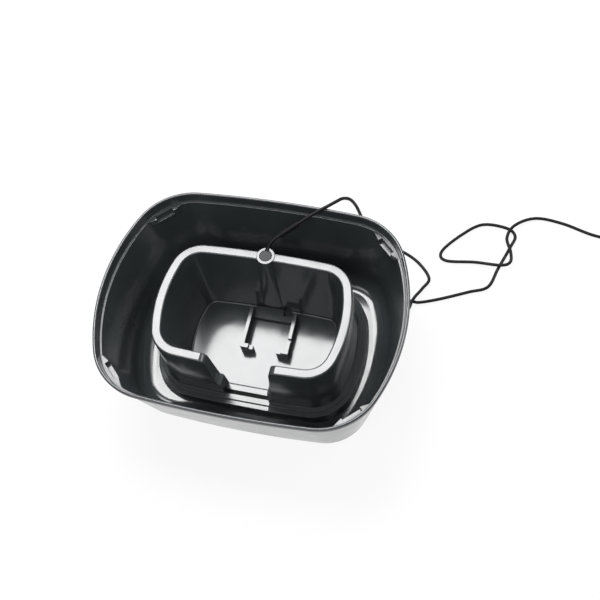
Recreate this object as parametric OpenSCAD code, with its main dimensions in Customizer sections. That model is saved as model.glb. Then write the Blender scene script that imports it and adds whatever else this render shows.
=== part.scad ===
// Water basin with a ringed pump bay, a cord duct and a low-voltage lead.
// Millimetres. Origin at the middle of the resting plane, +X right, +Y back, +Z up.

/* [Basin] */
// Width over the rim
rim_w = 310; // [290:1:330]
// Depth over the rim
rim_d = 237; // [225:1:255]
// Height of the rim over the resting plane
rim_z = 111; // [108:1:125]
// Radius of the long, nearly straight sides
side_r = 1180; // [900:10:1500]
// Radius of the short, bulged ends
end_r = 196; // [170:1:230]
// Radius of the corners
corner_r = 64; // [56:1:68]
// Thickness of the side wall
wall = 3.2; // [2.6:0.1:4]
// Thickness of the floor
floor_t = 3; // [2.6:0.1:4]
// How far the outside of the wall leans in from the rim to its foot
lean = 15.3; // [10:0.1:18]
// Radius of the bend from wall to floor, outside
bend_r = 9; // [6:0.5:12]
// Radius of the bend from wall to floor, inside
inner_r = 19; // [12:0.5:20]

/* [Rim and ledge] */
// How far the rim bead stands out from the wall
bead = 2; // [1:0.1:3]
// Height of the rim bead
bead_h = 5.5; // [4:0.1:8]
// Width of the rim's top edge
rim_t = 3; // [2.4:0.1:3.6]
// Depth of the ledge below the rim
ledge_drop = 11.3; // [9:0.1:14]
// Width of the ledge
ledge_w = 2; // [1.4:0.1:3]

/* [Corner shelves] */
// Angle that each shelf faces away from the basin's width
shelf_turn = 46.6; // [44:0.1:48]
// How far the shelf's straight edge lies in from the rim's corner
shelf_in = 12; // [11:0.1:14]
// How far the shelf's middle lies from the corner's, towards the basin's end
shelf_slip = 1.4; // [0:0.1:3]
// Length of the shelf's straight edge
shelf_edge = 22; // [21:0.5:26]
// Length of the shelf where it runs into the wall
shelf_l = 44; // [40:1:50]
// How far the shelf's edge draws back towards the wall at its ends
shelf_back = 2.8; // [2:0.1:4]
// Thickness of the shelf
shelf_t = 8; // [7.5:0.1:10]
// Length of the recess in the shelf
recess_l = 20; // [16:0.5:21]
// Width of the recess, open towards the middle
recess_w = 4.2; // [3:0.1:5]
// Depth of the recess
recess_h = 6; // [4:0.1:6.5]

/* [Bay ring] */
// Width over the ring's top edge
ring_w = 198.8; // [190:0.2:204]
// Depth over the ring's top edge
ring_d = 129.4; // [124:0.2:134]
// Radius of the ring's long sides
ring_side_r = 1138; // [900:1:1400]
// Radius of the ring's ends
ring_end_r = 145; // [130:1:160]
// Radius of the ring's corners
ring_corner_r = 32; // [28:0.5:36]
// How far the ring's middle lies in front of the basin's middle
ring_shift = 1; // [0:0.1:2]
// Height of the ring over the floor
ring_h = 93; // [80:0.5:97]
// Width of the flat top of the ring
land_w = 9.8; // [8.6:0.1:11]
// Rounding of the two edges of the flat top
land_round = 1.8; // [1:0.1:2.4]
// How far the inner face leans into the bay at the floor
inner_lean = 10.4; // [6:0.1:12]
// How far the outer face leans out down to the upper tread
outer_lean = 2.6; // [1:0.1:4]
// Thickness of the ring's walls
ring_wall = 2.5; // [2:0.1:3]
// Height of the upper tread over the floor
tread_z = 15; // [12:0.1:20]
// Width of the upper tread
tread_w = 4.7; // [3.5:0.1:6]
// Drop from the upper tread to the lower one
tread_drop = 2.2; // [1.2:0.1:3]
// Width of the lower tread
low_tread_w = 5; // [3.5:0.1:5.5]
// How far the skirt under the lower tread leans out
skirt_lean = 1.9; // [1:0.1:2.5]
// Height of the rib on the floor that locates the ring
rib_h = 3; // [2:0.1:4]
// Thickness of that rib
rib_t = 1.8; // [1.4:0.1:2.4]
// Clearance between the rib and the ring
rib_gap = 0.3; // [0.2:0.05:0.5]

/* [Gap and sill] */
// Width of the gap in the ring's front at its top
gap_top = 69; // [60:0.5:72]
// Width of the gap at the floor
gap_low = 54; // [46:0.5:58]
// Rounding of the ring's top where it ends at the gap
end_round = 2.4; // [1.5:0.1:2.5]
// Distance from the ring's front top edge back to the sill's inner face
sill_in = 11; // [9:0.1:12]
// Distance from the sill's inner face to the slot
sill_rib = 7.5; // [6:0.1:8]
// Width of the slot for a filter
slot_w = 4.8; // [4.4:0.1:5.2]
// Depth of the slot
slot_h = 8; // [6:0.1:9]

/* [Cord duct] */
// Outer radius of the duct at its mouth
duct_r = 9.6; // [9.2:0.1:11]
// Half width of the duct at the floor
duct_foot_r = 15.5; // [14.5:0.1:16]
// Distance from the duct's middle to its front at the floor
duct_foot_d = 16.8; // [16.4:0.1:17.2]
// Height of the duct's collar over the ring's top
collar_h = 0.8; // [0.4:0.1:1.5]
// Radius of the duct's mouth
mouth_r = 6.6; // [6.2:0.1:7]
// Depth of the straight mouth
mouth_h = 16; // [14:0.5:20]
// Width of the shoulder at the foot of the mouth
shoulder = 1; // [0.6:0.1:1.4]
// Width of the slot in the back of the mouth
mouth_slot_w = 4.4; // [4.2:0.1:5]
// Depth of that slot
mouth_slot_h = 4.6; // [4.2:0.1:6]
// Width of the cord inlet at the foot of the duct
inlet_w = 8.5; // [6:0.1:9]
// Height of the cord inlet
inlet_h = 9; // [7:0.1:11]
// Distance of the inlet from the duct's middle
inlet_x = 17.8; // [17:0.1:19]

/* [Pump cradle] */
// How far the cradle's middle lies to the right
cradle_x = 4.6; // [2:0.1:6]
// Distance between the middles of the rails
rail_span = 49; // [44:0.1:52]
// Width of a rail
rail_w = 3.6; // [3.2:0.1:4.5]
// Height of a rail
rail_h = 16; // [10:0.1:18]
// Length of a rail
rail_l = 48.5; // [44:0.5:52]
// Gap between the rails' rear ends and the ring
rail_gap = 8.5; // [6:0.1:10]
// Length of the inward hook at the front of a rail
hook_l = 9.5; // [8:0.1:12]
// Thickness of the hook
hook_t = 4.6; // [3.5:0.1:5.5]
// Drop of the hook's tip below the rail
hook_drop = 3.5; // [2:0.1:5]
// Gap between the bridge plate and the foot of the duct
bridge_gap = 0.6; // [0.4:0.1:1.5]
// Depth of the bridge plate from back to front
bridge_d = 14; // [10:0.1:18]
// Height of the bridge plate's top over the floor
bridge_z = 5.5; // [4:0.1:7]
// Thickness of the bridge plate
bridge_t = 2.5; // [2:0.1:3]
// Radius of the locating pegs on the floor
peg_r = 1.1; // [0.9:0.1:1.2]
// Height of the pegs
peg_h = 3; // [2:0.1:4]
// Clearance round the pegs
peg_gap = 0.2; // [0.1:0.05:0.3]

/* [Feet] */
// Distance between the feet along the width
foot_span_x = 184; // [160:1:190]
// Distance between the feet along the depth
foot_span_y = 124; // [100:1:130]
// Radius of a foot
foot_r = 8; // [6:0.5:10]
// How far a foot stands out under the floor
foot_h = 2; // [1.5:0.1:3]
// Depth of the pocket that a foot sits in
pocket_h = 1; // [0.6:0.1:1.2]
// Clearance round a foot in its pocket
pocket_gap = 0.2; // [0.1:0.05:0.4]

/* [Bung and boot] */
// Clearance between the bung and the duct's mouth
bung_gap = 0.25; // [0.15:0.05:0.35]
// Length of the bung
bung_l = 13.5; // [11:0.1:14]
// Depth of the flat on the bung where the lead leaves it
bung_flat = 0.8; // [0.6:0.1:1]
// Length of the ribbed boot on the lead
boot_l = 22; // [18:0.5:26]
// Radius of the boot's ribs
boot_r = 3.4; // [3:0.1:4]
// Depth of the grooves between the ribs
boot_groove = 0.8; // [0.5:0.1:1]
// Number of ribs on the boot
boot_ribs = 6; // [4:1:8]

/* [Lead] */
// Diameter of the lead
lead_d = 3.5; // [3:0.1:3.6]
// Outer radius of the coil, to the middle of the lead
coil_r = 26.5; // [26:0.5:27]
// Turns in each of the coil's two layers
coil_turns = 3.75; // [2.75:1:3.75]
// Distance between the coil's turns and layers
coil_pitch = 4; // [4:0.05:4.1]

/* [Tie and plug] */
// Width of the tie round the coil
tie_w = 5; // [4:0.5:8]
// Thickness of the tie
tie_t = 0.6; // [0.5:0.05:0.65]
// Clearance between the tie and the coil
tie_gap = 0.4; // [0.3:0.05:0.45]
// Radius of the plug's grip
grip_r = 5.5; // [5:0.1:5.6]
// Length of the plug's grip with its tapered neck
grip_l = 34; // [28:0.5:40]
// Radius of the plug's barrel
barrel_r = 2.75; // [2.5:0.05:3]
// Length of the plug's barrel
barrel_l = 9.5; // [8:0.5:12]
// Radius of the hole in the barrel
barrel_hole_r = 1.05; // [0.9:0.05:1.3]

/* [Hidden] */

// Colours of the pieces
gloss_black = [0.07, 0.08, 0.08];
satin_black = [0.11, 0.12, 0.12];
rubber_grey = [0.2, 0.21, 0.21];
metal_grey = [0.72, 0.72, 0.7];

// Fineness of the outlines and of round pieces
end_steps = 4;
corner_steps = 9;
side_steps = 4;
round_fn = 48;
tube_sides = 8;
coil_sides = 6;
coil_rings = 24;
cut = 1;

// Heights
base_z = foot_h;
floor_z = base_z + floor_t;
ledge_z = rim_z - ledge_drop;
ring_z = floor_z + ring_h;
collar_z = ring_z + collar_h;

// Outlines: half width, half depth, long side radius, end radius, corner radius
rim_outline = [rim_w / 2, rim_d / 2, side_r, end_r, corner_r];
ring_outline = [ring_w / 2, ring_d / 2, ring_side_r, ring_end_r, ring_corner_r];

// Centre of the corner arc: it touches the side arc and the end arc from inside
function corner_centre(o) =
    let (p = [0, o[1] - o[2]], q = [o[0] - o[3], 0],
         r = o[2] - o[4], s = o[3] - o[4],
         d = norm(q - p), u = (q - p) / d,
         along = (d * d + r * r - s * s) / (2 * d),
         aside = sqrt(r * r - along * along))
    p + along * u + aside * [u[1], -u[0]];

// Stations of one quarter of an outline, each a centre, a radius and an angle
function quarter(o) =
    let (c = corner_centre(o), p = [0, o[1] - o[2]], q = [o[0] - o[3], 0],
         low = atan2(c[1] - q[1], c[0] - q[0]),
         high = atan2(c[1] - p[1], c[0] - p[0]))
    concat([for (i = [0:end_steps - 1]) [q, o[3], low * i / end_steps]],
           [for (i = [0:corner_steps - 1]) [c, o[4], low + (high - low) * i / corner_steps]],
           [for (i = [0:side_steps]) [p, o[2], high + (90 - high) * i / side_steps]]);

// Stations round the whole outline, anticlockwise from +X
function stations(o) =
    let (q = quarter(o), last = len(q) - 1,
         half = concat([for (i = [0:last - 1]) q[i]],
                       [for (i = [last:-1:1]) [[-q[i][0][0], q[i][0][1]], q[i][1], 180 - q[i][2]]]))
    concat(half, [for (s = half) [-s[0], s[1], s[2] + 180]]);

// Point of a station, set in from the outline
function inset_point(s, inset) = s[0] + (s[1] - inset) * [cos(s[2]), sin(s[2])];

// Closed skin over a row of sections with equal counts of points
module skin(sections) {
    n = len(sections[0]);
    rows = len(sections);
    sides = [for (i = [0:rows - 2], j = [0:n - 1])
        let (a = i * n + j, b = i * n + (j + 1) % n)
        each [[a, b + n, b], [a, a + n, b + n]]];
    first_cap = [for (j = [0:n - 1]) j];
    last_cap = [for (j = [n - 1:-1:0]) (rows - 1) * n + j];
    polyhedron(points = [for (s = sections) each s], faces = concat([first_cap], sides, [last_cap]));
}

// Basin profile as pairs of inset and height, from the underside over the rim to the floor
wall_top_z = rim_z - bead_h;
wall_foot_z = base_z + bend_r;
slope = lean / (wall_top_z - wall_foot_z);
function outer_inset(z) = bead + (wall_top_z - z) * slope;
function inner_inset(z) = outer_inset(z) + wall;
inner_foot_z = floor_z + inner_r;
foot_in = outer_inset(wall_foot_z);
inner_foot_in = inner_inset(inner_foot_z);
lip_in = inner_inset(ledge_z) - ledge_w;
bend_angles = [80, 60, 40, 20, 0];

basin_profile = concat(
    [[foot_in + bend_r, base_z]],
    [for (a = [20, 40, 60, 80]) [foot_in + bend_r * (1 - sin(a)), base_z + bend_r * (1 - cos(a))]],
    [[foot_in, wall_foot_z],
     [bead, wall_top_z],
     [bead * 0.3, wall_top_z + bead * 0.15],
     [0, wall_top_z + bead * 0.5],
     [0, rim_z - rim_t * 0.5],
     [rim_t * 0.15, rim_z - rim_t * 0.15],
     [rim_t * 0.45, rim_z],
     [rim_t * 0.75, rim_z],
     [rim_t, rim_z - rim_t * 0.25],
     [lip_in, ledge_z + rim_t * 0.2],
     [lip_in + rim_t * 0.15, ledge_z],
     [lip_in + ledge_w, ledge_z],
     [inner_inset(ledge_z - ledge_w), ledge_z - ledge_w],
     [inner_foot_in, inner_foot_z]],
    [for (a = bend_angles) [inner_foot_in + inner_r * (1 - sin(a)), floor_z + inner_r * (1 - cos(a))]]);

module basin_shell() {
    around = stations(rim_outline);
    skin([for (p = basin_profile) [for (s = around) [each inset_point(s, p[0]), p[1]]]]);
}

// Flat prism of the rim outline, for cutting shelves to the wall
module rim_prism(inset, z, h) {
    translate([0, 0, z])
        linear_extrude(h)
            polygon([for (s = stations(rim_outline)) inset_point(s, inset)]);
}

// Points of the back right shelf: the way it faces, and along its straight edge
shelf_way = [cos(shelf_turn), sin(shelf_turn)];
shelf_across = [-sin(shelf_turn), cos(shelf_turn)];
shelf_middle = corner_centre(rim_outline) - shelf_slip * shelf_across;
shelf_front = corner_r - shelf_in;
shelf_root = outer_inset(ledge_z - shelf_t) + wall / 4;
function shelf_points(outline) =
    [for (p = outline) shelf_middle + p[0] * shelf_way + p[1] * shelf_across];
shelf_outline = [
    [shelf_front, -shelf_edge / 2],
    [shelf_front + shelf_back, -shelf_l / 2],
    [corner_r, -shelf_l / 2],
    [corner_r, shelf_l / 2],
    [shelf_front + shelf_back, shelf_l / 2],
    [shelf_front, shelf_edge / 2]];
recess_outline = [
    [shelf_front - cut, -recess_l / 2],
    [shelf_front + recess_w, -recess_l / 2],
    [shelf_front + recess_w, recess_l / 2],
    [shelf_front - cut, recess_l / 2]];

// Shelf in the back right corner, with its recess
module corner_shelf() {
    difference() {
        intersection() {
            rim_prism(shelf_root, ledge_z - shelf_t, shelf_t);
            translate([0, 0, ledge_z - shelf_t])
                linear_extrude(shelf_t)
                    polygon(shelf_points(shelf_outline));
        }
        translate([0, 0, ledge_z - recess_h])
            linear_extrude(recess_h + cut)
                polygon(shelf_points(recess_outline));
    }
}

// Places of the feet
function foot_place(right, back) = [(right - 0.5) * foot_span_x, (back - 0.5) * foot_span_y];

// Half width of the gap in the ring at a height over the floor
function gap_half(h) = gap_low / 2 + (gap_top - gap_low) / 2 * h / ring_h;

// Stations of the ring from the right of the gap round the back to its left
gap_room = gap_top / 2 + end_round + 2 * ring_wall;
ring_stations =
    let (all = stations(ring_outline), n = len(all), first = n * 3 / 4)
    [for (i = [0:n - 1])
        let (s = all[(i + first) % n], p = inset_point(s, 0))
        if (p[1] > 0 || abs(p[0]) > gap_room) s];

// One point of the ring: inset from its top edge, height over the floor
function ring_point(s, p) = [each inset_point(s, p[0]) - [0, ring_shift], floor_z + p[1]];

// Section of the ring near an end of the gap, on a slanted plane, with its top let down
function gap_section(profile, side, back_off, drop) =
    [for (p = profile)
        let (x = side * (gap_half(p[1]) + back_off), r = ring_side_r - p[0],
             down = p[1] > ring_h / 2 ? drop : 0)
        [x, ring_side_r - ring_d / 2 - sqrt(r * r - x * x) - ring_shift, floor_z + p[1] - down]];

// Sections of the ring from one end of the gap to the other; each end steps back from the gap and down
function ring_sections(profile, ends) =
    concat([for (e = ends) gap_section(profile, 1, e[0], e[1])],
           [for (s = ring_stations) [for (p = profile) ring_point(s, p)]],
           [for (i = [len(ends) - 1:-1:0]) gap_section(profile, -1, ends[i][0], ends[i][1])]);
round_ends = [for (a = [0, 45, 90]) end_round * [1 - cos(a), 1 - sin(a)]];
cavity_ends = [for (e = round_ends) [ring_wall + e[0], 0]];
rib_ends = [[2 * ring_wall, 0]];

// Faces of a skin open along its last strip; the second half of a hollow piece turns them inside out
function open_skin(rows, n, first, inside) =
    let (sides = [for (i = [0:rows - 2], j = [0:n - 2])
             let (a = first + i * n + j)
             each [[a, a + 1 + n, a + 1], [a, a + n, a + 1 + n]]],
         caps = [[for (j = [0:n - 1]) first + j],
                 [for (j = [n - 1:-1:0]) first + (rows - 1) * n + j]],
         all = concat(sides, caps))
    inside ? [for (f = all) [for (k = [len(f) - 1:-1:0]) f[k]]] : all;

// Hollow piece: an outer and an inner skin, joined along their open strips
module hollow_skin(outer, inner) {
    rows = len(outer);
    n = len(outer[0]);
    m = len(inner[0]);
    base = rows * n;
    foot = [for (i = [0:rows - 2])
        let (a = i * n, b = base + i * m, c = a + n - 1, d = b + m - 1)
        each [[a, b, b + m], [a, b + m, a + n], [c, d + m, d], [c, c + n, d + m]]];
    ends = [for (i = [0, rows - 1])
        let (a = i * n, b = base + i * m, c = a + n - 1, d = b + m - 1)
        each i == 0 ? [[a, c, d], [a, d, b]] : [[a, d, c], [a, b, d]]];
    polyhedron(points = concat([for (s = outer) each s], [for (s = inner) each s]),
               faces = concat(open_skin(rows, n, 0, false), open_skin(rows, m, base, true), foot, ends));
}

// Ring profile as pairs of inset and height, from the inner foot over the top to the skirt
inner_foot = land_w + inner_lean;
tread_in = -outer_lean;
tread_out = tread_in - tread_w;
low_tread_z = tread_z - tread_drop;
skirt_top = tread_out - low_tread_w;
skirt_foot = skirt_top - skirt_lean;
edge = 0.4;
ring_profile = [
    [inner_foot, 0],
    [land_w + inner_lean * land_round / ring_h, ring_h - land_round],
    [land_w - land_round * 0.3, ring_h - land_round * 0.3],
    [land_w - land_round, ring_h],
    [land_round, ring_h],
    [land_round * 0.3, ring_h - land_round * 0.3],
    [0, ring_h - land_round],
    [tread_in + edge, tread_z + edge * 2],
    [tread_in, tread_z],
    [tread_out + edge, tread_z],
    [tread_out, tread_z - edge],
    [tread_out, low_tread_z],
    [skirt_top + edge, low_tread_z],
    [skirt_top, low_tread_z - edge],
    [skirt_foot, 0]];

// Hollow of the ring, open at the floor
cavity_profile = [
    [inner_foot - ring_wall, 0],
    [land_w - ring_wall, ring_h - ring_wall],
    [ring_wall, ring_h - ring_wall],
    [tread_in + ring_wall, tread_z],
    [tread_out + ring_wall, tread_z - ring_wall],
    [skirt_top + ring_wall, low_tread_z - ring_wall],
    [skirt_foot + ring_wall, 0]];

// Rib on the floor inside the ring's skirt
rib_out = skirt_foot + ring_wall + rib_gap + skirt_lean * rib_h / low_tread_z;
rib_profile = [
    [rib_out + rib_t, -cut],
    [rib_out + rib_t, rib_h],
    [rib_out, rib_h],
    [rib_out, -cut]];

duct_y = ring_d / 2 - land_w / 2 - ring_shift;
module locating_rib() {
    difference() {
        skin(ring_sections(rib_profile, rib_ends));
        translate([0, duct_y, floor_z])
            cylinder(h = 2 * rib_h, r = duct_foot_r + 2 * rib_gap, $fn = round_fn);
    }
}

// Places of the cradle's parts
rail_x = rail_span / 2;
rail_back = ring_d / 2 - inner_foot - ring_shift - rail_gap;
rail_front = rail_back - rail_l;
peg_ys = [rail_back - rail_l * 0.2, rail_front + rail_l * 0.2];
function peg_places() = [for (side = [-1, 1], y = peg_ys) [cradle_x + side * rail_x, y, floor_z]];

module basin() {
    color(gloss_black)
    difference() {
        union() {
            basin_shell();
            for (left = [0, 1], front = [0, 1])
                mirror([left, 0, 0]) mirror([0, front, 0]) corner_shelf();
            locating_rib();
            for (p = peg_places())
                translate(p - [0, 0, cut]) cylinder(h = peg_h + cut, r = peg_r, $fn = round_fn);
        }
        for (right = [0, 1], back = [0, 1])
            translate([each foot_place(right, back), base_z - cut])
                cylinder(h = pocket_h + cut, r = foot_r + pocket_gap, $fn = round_fn);
    }
}

// Sill across the gap, between the ring's end walls, with a slot and a hollow below
sill_y = -(ring_d / 2 + ring_shift);
sill_inner_y = sill_y + sill_in;
slot_back_y = sill_inner_y - sill_rib;
sill_sink = 0.05;
sill_bow = gap_low * gap_low / 8 / ring_side_r;
sill_tread_y = sill_y + tread_out + sill_bow + sill_sink;
sill_skirt_y = sill_y + skirt_top + sill_bow + sill_sink;
sill_section = [
    [sill_inner_y, 0],
    [sill_inner_y, tread_z - 4 * edge],
    [sill_inner_y - edge, tread_z - edge],
    [sill_inner_y - 4 * edge, tread_z - sill_sink],
    [sill_tread_y, tread_z - sill_sink],
    [sill_tread_y, low_tread_z - sill_sink],
    [sill_skirt_y, low_tread_z - sill_sink],
    [sill_skirt_y - skirt_lean, 0]];
function sill_end(side) =
    [for (p = sill_section) [side * (gap_half(p[1]) + ring_wall / 2), p[0], floor_z + p[1]]];
module sill() {
    skin([sill_end(-1), sill_end(1)]);
}
module filter_slot() {
    slot_l = gap_low + 2 * ring_wall;
    translate([-slot_l / 2, slot_back_y - slot_w, floor_z + tread_z - slot_h])
        cube([slot_l, slot_w, slot_h + cut]);
}
module sill_hollow() {
    hollow_h = tread_z - slot_h - ring_wall;
    hollow_l = gap_low - 4 * ring_wall;
    translate([-hollow_l / 2, sill_skirt_y + ring_wall, floor_z - cut])
        cube([hollow_l, sill_inner_y - sill_skirt_y - 2 * ring_wall, hollow_h + cut]);
}

// Cord duct: a post from a squared foot to a round collar, and its bore
post_steps = 36;
function foot_reach(a) =
    sin(a) > 0 ? duct_foot_r
    : pow(pow(abs(cos(a)) / duct_foot_r, 4) + pow(abs(sin(a)) / duct_foot_d, 4), -0.25);
function post_section(z, round) =
    [for (i = [0:post_steps - 1])
        let (a = 360 * (i + 0.5) / post_steps, r = round ? duct_r : foot_reach(a))
        [r * cos(a), duct_y + r * sin(a), z]];
module duct_post() {
    skin([post_section(floor_z, false), post_section(collar_z, true)]);
}
module duct_bore() {
    shoulder_z = collar_z - mouth_h;
    translate([0, duct_y, floor_z - cut])
        cylinder(h = shoulder_z - floor_z + 2 * cut, r1 = duct_foot_r - ring_wall - 1,
                 r2 = mouth_r - shoulder, $fn = post_steps);
}
module duct_mouth() {
    translate([0, duct_y, collar_z - mouth_h])
        cylinder(h = mouth_h + cut, r = mouth_r, $fn = round_fn);
}

// Slot in the back of the duct's mouth
module mouth_slot() {
    translate([-mouth_slot_w / 2, duct_y, collar_z - mouth_slot_h])
        cube([mouth_slot_w, 2 * duct_r, mouth_slot_h + cut]);
}

// Arched inlet from the bay, and its way into the duct
module cord_inlet() {
    arch_r = inlet_w / 2;
    side_h = inlet_h - arch_r;
    wall_y = duct_y - land_w / 2;
    translate([inlet_x, wall_y, floor_z])
        rotate([90, 0, 0])
            linear_extrude(2 * inner_lean)
                polygon(concat([[-arch_r, -cut]],
                               [for (a = [180:-15:0]) [arch_r * cos(a), side_h + arch_r * sin(a)]],
                               [[arch_r, -cut]]));
    translate([0, wall_y - inner_lean / 2, floor_z - cut])
        cube([inlet_x, land_w / 2 + inner_lean / 2, side_h + cut]);
}

// Ring, sill and post as one mesh
module ring_body() {
    minkowski() {
        difference() {
            union() {
                hollow_skin(ring_sections(ring_profile, round_ends),
                            ring_sections(cavity_profile, cavity_ends));
                sill();
                duct_post();
            }
            filter_slot();
            sill_hollow();
            duct_bore();
            mouth_slot();
            cord_inlet();
        }
    }
}

module bay_ring() {
    color(satin_black)
    difference() {
        ring_body();
        duct_mouth();
    }
}

// Rail of the cradle with its hook: side is -1 on the left, 1 on the right
module rail(side) {
    translate([side * rail_x - rail_w / 2, rail_front, 0])
        cube([rail_w, rail_l, rail_h]);
    hook_x = side > 0 ? rail_x - rail_w / 2 - hook_l : -rail_x + rail_w / 2;
    tip_x = side > 0 ? hook_x : hook_x + hook_l / 2;
    difference() {
        translate([hook_x, rail_front, 0])
            cube([hook_l, hook_t, rail_h]);
        translate([tip_x, rail_front - cut, rail_h - hook_drop])
            cube([hook_l / 2, hook_t + 2 * cut, hook_drop + cut]);
    }
}

module pump_cradle() {
    inside = rail_span - rail_w;
    bridge_back = duct_y - duct_foot_d - bridge_gap;
    cord_room = inlet_x + inlet_w / 2 - cradle_x;
    color(gloss_black)
    translate([cradle_x, 0, floor_z])
    difference() {
        union() {
            for (side = [-1, 1]) rail(side);
            translate([-inside / 2, bridge_back - bridge_d, bridge_z - bridge_t])
                cube([inside, bridge_d, bridge_t]);
        }
        translate([cord_room - inlet_w, bridge_back - bridge_d / 2, -cut])
            cube([inside / 2 - cord_room + inlet_w, bridge_d, rail_h / 2 + cut]);
        translate([rail_x - rail_w, rail_front + rail_l * 0.3, rail_h - hook_drop])
            cube([2 * rail_w, rail_w, hook_drop + cut]);
        for (p = peg_places())
            translate([p[0] - cradle_x, p[1], -cut])
                cylinder(h = peg_h + peg_gap + cut, r = peg_r + peg_gap, $fn = round_fn);
    }
}

// Rubber foot with a bevelled edge and a ring groove in its sole
module foot(right, back) {
    bevel = foot_h * 0.3;
    groove = foot_r * 0.55;
    groove_w = foot_r * 0.15;
    color(rubber_grey)
    translate([each foot_place(right, back), 0])
        rotate_extrude($fn = round_fn)
            polygon([[0, 0], [groove, 0], [groove, bevel], [groove + groove_w, bevel], [groove + groove_w, 0],
                     [foot_r - bevel, 0], [foot_r, bevel],
                     [foot_r, foot_h + pocket_h], [0, foot_h + pocket_h]]);
}
module foot_front_left() { foot(0, 0); }
module foot_front_right() { foot(1, 0); }
module foot_back_left() { foot(0, 1); }
module foot_back_right() { foot(1, 1); }

// Bung in the duct's mouth: two sealing lips, and a flat at the back where the lead leaves it
lead_r = lead_d / 2;
bung_r = mouth_r - bung_gap;
bung_top_z = collar_z - 0.2;
flat_y = duct_y + bung_r - bung_flat;
module duct_bung() {
    lip = bung_gap * 0.4;
    chamfer = 0.6;
    color(rubber_grey)
    difference() {
        translate([0, duct_y, bung_top_z - bung_l])
            rotate_extrude($fn = round_fn)
                polygon([[0, 0], [bung_r - 2 * chamfer, 0], [bung_r - chamfer, chamfer],
                         [bung_r - chamfer, bung_l * 0.3], [bung_r, bung_l * 0.3],
                         [bung_r + lip, bung_l * 0.36], [bung_r, bung_l * 0.42],
                         [bung_r, bung_l - chamfer], [bung_r - chamfer, bung_l], [0, bung_l]]);
        translate([-bung_r, flat_y, bung_top_z - mouth_slot_h])
            cube([2 * bung_r, bung_r, 2 * mouth_slot_h]);
    }
}

// Route of the lead: round numbers, chosen by eye
tail_z = collar_z - mouth_slot_h + lead_r + 0.6;
tail_route = [[0, flat_y, tail_z], [0, 69, tail_z + 0.2], [2, 74, 99.5], [6, 79, 101.5], [11, 83, 103.5]];
boot_end = [27, 96, 109];
span_route = [boot_end, [36, 103.5, 111.7], [45, 111, 113.2], [53, 118, 113.4]];
run_route = [
    [53, 118, 113.4], [60, 125, 112.6], [66, 133, 108.5], [72, 139, 99], [77, 142, 84], [81, 143, 66],
    [86, 143, 42], [93, 143, 20], [105, 143, 5], [121, 143, 2], [146, 131, 2], [163, 112, 2],
    [158, 97, 4], [152, 85, 6.2], [149, 77.5, 6], [147.5, 71, 4], [144.5, 66, 2.4], [139.5, 64, 2],
    [135, 66.5, 2], [132.5, 71.5, 2], [134.5, 76.5, 2], [139, 79.5, 2], [144.5, 80.5, 2], [151, 80, 2],
    [158, 80.5, 2], [178, 88, 2], [208, 102, 2],
    [228, 112, 2], [236, 136, 2], [246, 165, 2], [250, 181, 2], [239, 190, 2], [212, 190, 2],
    [190, 172, 2], [172, 148, 2], [178, 137, 2], [210, 140, 2.6], [238, 139, 6], [248, 145, 5.6],
    [247, 158, 6], [241, 175, 6], [248, 193, 5.8], [270, 208, 2.2], [300, 206, 2], [336, 196, 2],
    [372, 193.5, 2.8]];
floor_lead_z = lead_r + 0.1;

// Smooth curve through the points: a uniform spline with a few steps in each stretch
function spline_at(a, b, c, d, t) =
    0.5 * ((2 * b) + (c - a) * t + (2 * a - 5 * b + 4 * c - d) * t * t + (3 * b - a - 3 * c + d) * t * t * t);
function on_floor(p) = [p[0], p[1], max(p[2], floor_lead_z)];
function smooth(route, steps, lead_in, lead_out) =
    let (last = len(route) - 1,
         ends = concat([route[0] - lead_in], route, [route[last] + lead_out]))
    concat([for (i = [0:last - 1], k = [0:steps - 1])
               on_floor(spline_at(ends[i], ends[i + 1], ends[i + 2], ends[i + 3], k / steps))],
           [on_floor(route[last])]);

// Rings of a tube along a path, carried along without twist
function unit(v) = v / norm(v);
function along_path(path, i, start, finish) =
    i == 0 ? unit(start) : i == len(path) - 1 ? unit(finish) : unit(path[i + 1] - path[i - 1]);
function square_to(n, t) = unit(n - (n * t) * t);
function tube(path, r, sides, start, finish) =
    let (ts = [for (i = [0:len(path) - 1]) along_path(path, i, start, finish)],
         first = square_to([0.1, 0.2, 1], ts[0]),
         ns = [for (i = 0, n = first; i < len(path);
                    i = i + 1, n = i < len(path) ? square_to(n, ts[i]) : n) n])
    [for (i = [0:len(path) - 1])
        let (u = ns[i], v = cross(ts[i], ns[i]))
        [for (k = [0:sides - 1])
            let (a = 360 * (k + 0.5) / sides)
            path[i] + r * (cos(a) * u + sin(a) * v)]];

boot_way = unit(boot_end - tail_route[4]);
boot_start = boot_end - boot_l * boot_way;
run_end_way = [1, 0, 0];
rim_way = unit(run_route[1] - span_route[2]);
tail_path = smooth(concat([for (i = [0:3]) tail_route[i]], [boot_start]), 2, [0, 4, 0], 6 * boot_way);
span_path = smooth(span_route, 2, 8 * boot_way, run_route[1] - run_route[0]);
run_path = smooth(run_route, 2, run_route[0] - span_route[2], 30 * run_end_way);

module lead_tail() {
    color(satin_black)
        skin(tube(tail_path, lead_r, tube_sides, [0, 1, 0], boot_way));
}
module lead_span() {
    color(satin_black)
        skin(tube(span_path, lead_r, tube_sides, boot_way, rim_way));
}
module lead_run() {
    color(satin_black)
        skin(tube(run_path, lead_r, tube_sides, rim_way, run_end_way));
}

// Turns a piece drawn along +Z to another way, with its foot at a place
module aimed(place, way) {
    translate(place)
        rotate([0, acos(way[2]), atan2(way[1], way[0])])
            children();
}

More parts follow.
